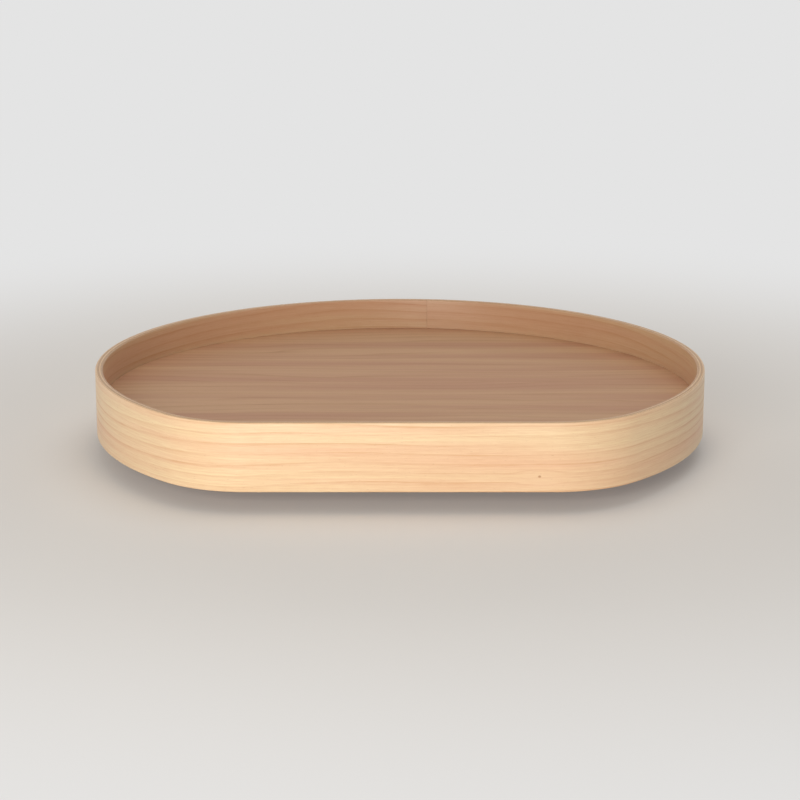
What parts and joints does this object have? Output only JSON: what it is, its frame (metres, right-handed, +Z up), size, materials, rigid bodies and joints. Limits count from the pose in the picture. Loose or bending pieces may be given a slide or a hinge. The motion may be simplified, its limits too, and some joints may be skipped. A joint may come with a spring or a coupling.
{
  "type": "d-shaped lazy susan",
  "caption": "D-shaped turntable tray for a corner wall cabinet: bent wooden rim round a plywood floor, turning on a caged ball bearing over a fixed base disc.",
  "frame": {"origin": "on the turning axis, in the underside of the base disc, which is the plane of the shelf", "axes": "+Z up along the turning axis; +X to the right, along the straight front of the tray; the straight front faces -Y"},
  "size_m": [0.5588, 0.5054, 0.078],
  "materials": {
    "rim": "clear satin lacquer",
    "floor": "clear satin lacquer",
    "base_disc": "sanded plywood",
    "insert": "plated, satin",
    "ring": "clear anodised, fine turned",
    "screw": "zinc plated",
    "ball": "polished",
    "cage": "moulded nylon"
  },
  "bodies": {
    "base": {"base_disc": "base_disc", "base_inserts": "insert", "inner_ring": "ring", "inner_ring_screws": "screw"},
    "cage": {"bearing_balls": "ball", "ball_cage": "cage"},
    "tray": {"outer_ring_lower": "ring", "outer_ring_upper": "ring", "ring_rivets": "ring", "tray_screws": "screw", "floor_panel": "floor", "rim_band": "rim"}
  },
  "joints": [
    {"name": "tray_spin", "type": "hinge", "parent": "base", "child": "tray", "pos_m": [0, 0, 0.024], "axis": [0, 0, 1], "continuous": true},
    {"name": "cage_orbit", "type": "hinge", "parent": "base", "child": "cage", "pos_m": [0, 0, 0.024], "axis": [0, 0, 1], "continuous": true}
  ],
  "couplings": [
    {"joint": "cage_orbit", "follows": "tray_spin", "ratio": 0.5118}
  ]
}
